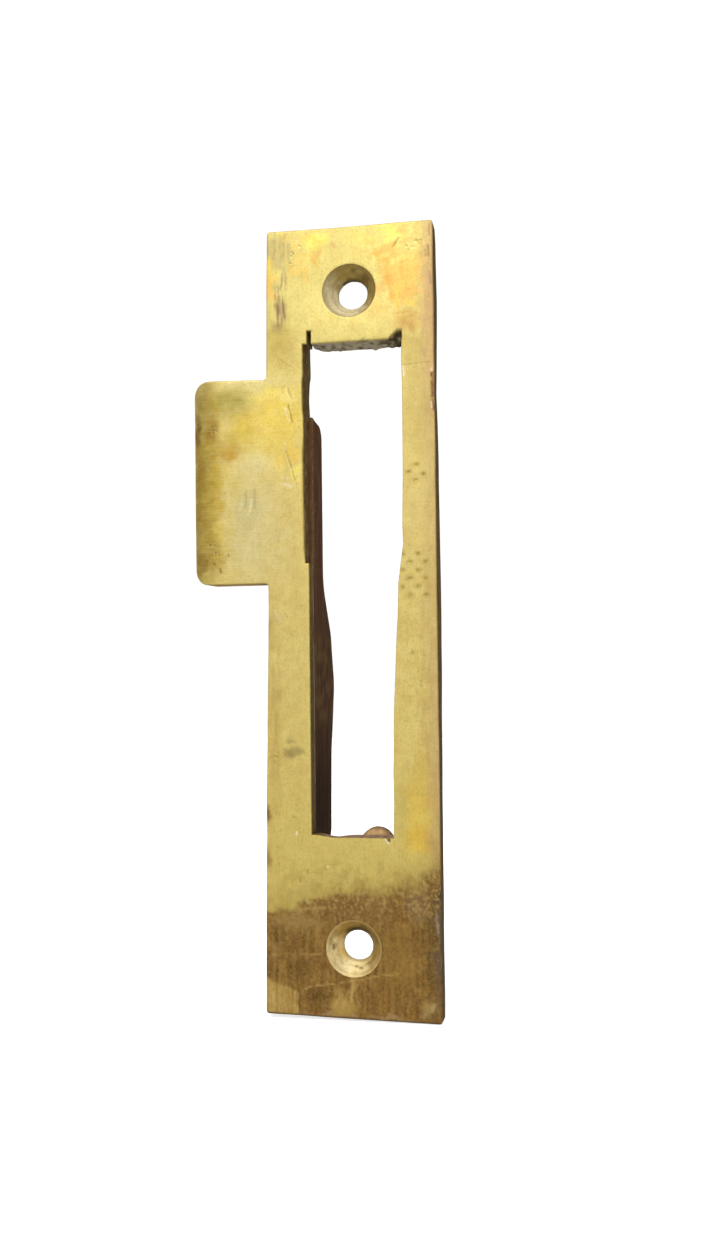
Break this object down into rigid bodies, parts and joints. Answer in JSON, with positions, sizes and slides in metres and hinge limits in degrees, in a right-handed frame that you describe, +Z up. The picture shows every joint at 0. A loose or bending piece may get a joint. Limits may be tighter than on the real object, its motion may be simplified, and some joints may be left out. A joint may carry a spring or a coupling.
{
  "type": "strike plate",
  "caption": "Brass keep plate for a mortise lock: curved lip, long bolt opening, countersunk screw holes, and sheet cheeks brazed behind the opening.",
  "frame": {"origin": "midway between the two screw holes, on the plate's back face, which seats on the door frame", "axes": "+X across the plate away from the lip, +Y into the door frame, +Z up along the plate"},
  "size_m": [0.0373, 0.0185, 0.118],
  "materials": {
    "plate_brass": "worn satin brass, tarnished brown at the lower end",
    "cheek_brass": "dark brown tarnish",
    "lug_brass": "dull tan",
    "braze_metal": "rough, flux stained"
  },
  "bodies": {
    "root": {"strike_plate": "plate_brass", "left_keep_cheek": "cheek_brass", "right_keep_cheek": "cheek_brass", "end_lug": "lug_brass", "left_braze_seam": "braze_metal", "right_braze_seam": "braze_metal", "lug_braze_seam": "braze_metal"}
  },
  "joints": []
}
